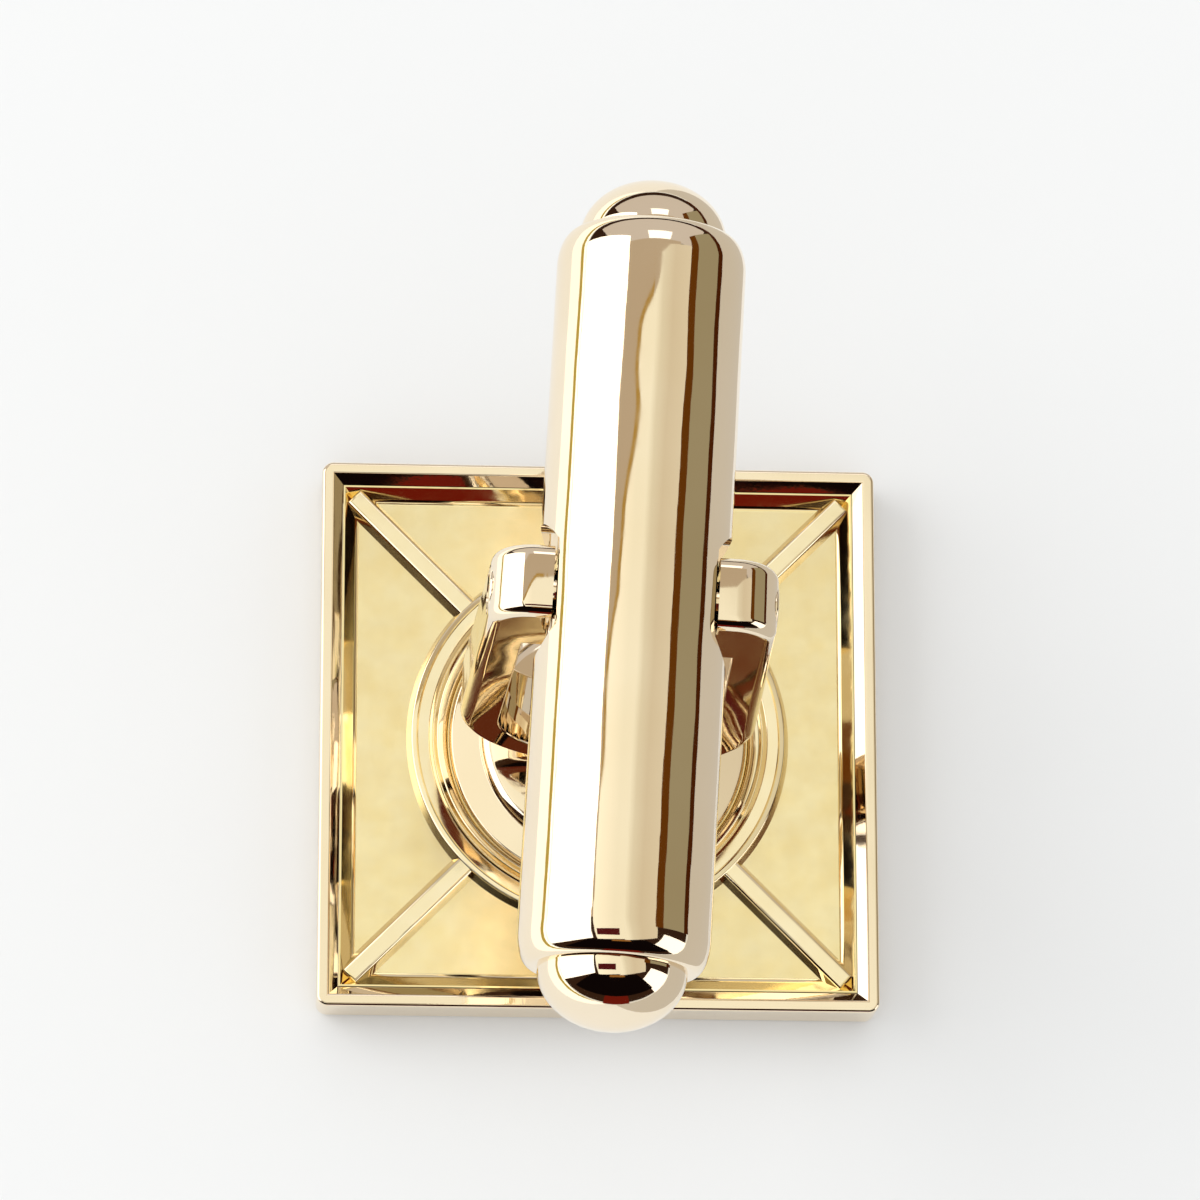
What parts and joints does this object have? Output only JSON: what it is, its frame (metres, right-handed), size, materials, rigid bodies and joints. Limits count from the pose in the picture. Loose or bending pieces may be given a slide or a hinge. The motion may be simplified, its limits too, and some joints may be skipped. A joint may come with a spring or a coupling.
{
  "type": "cufflink",
  "caption": "Square polished gold-coloured cufflink with a ribbed hollow back, a U-shaped stirrup post and a domed bullet toggle that swings in line with the post.",
  "frame": {"origin": "middle of the square front face, which lies on the surface", "axes": "+Z from the front face towards the toggle, +Y along the closed toggle, X along the hinge pin; the square keeps to X and Y and the toggle stands 3.2 degrees out of square to it and tilts 2 degrees to +Y"},
  "size_m": [0.016, 0.0233, 0.0172],
  "materials": {
    "polished_gold": "mirror polished pale rose gold",
    "face_gold": "polished gold, plain",
    "tray_gold": "fine satin yellow gold",
    "spring_steel": "bright strip"
  },
  "bodies": {
    "post": {"square_frame": "polished_gold", "front_panel": "face_gold", "back_tray": "tray_gold", "domed_foot": "polished_gold", "stirrup": "polished_gold", "pivot_pin": "polished_gold"},
    "bullet": {"bullet_tube": "polished_gold", "far_end_cap": "polished_gold", "near_end_cap": "polished_gold", "detent_spring": "spring_steel"}
  },
  "joints": [
    {"name": "bullet_swing", "type": "hinge", "parent": "post", "child": "bullet", "pos_m": [0.00003, 0.00045, 0.01465], "axis": [0.9984, -0.0558, 0], "range_deg": [-90, 90], "deforming": ["detent_spring"]}
  ]
}
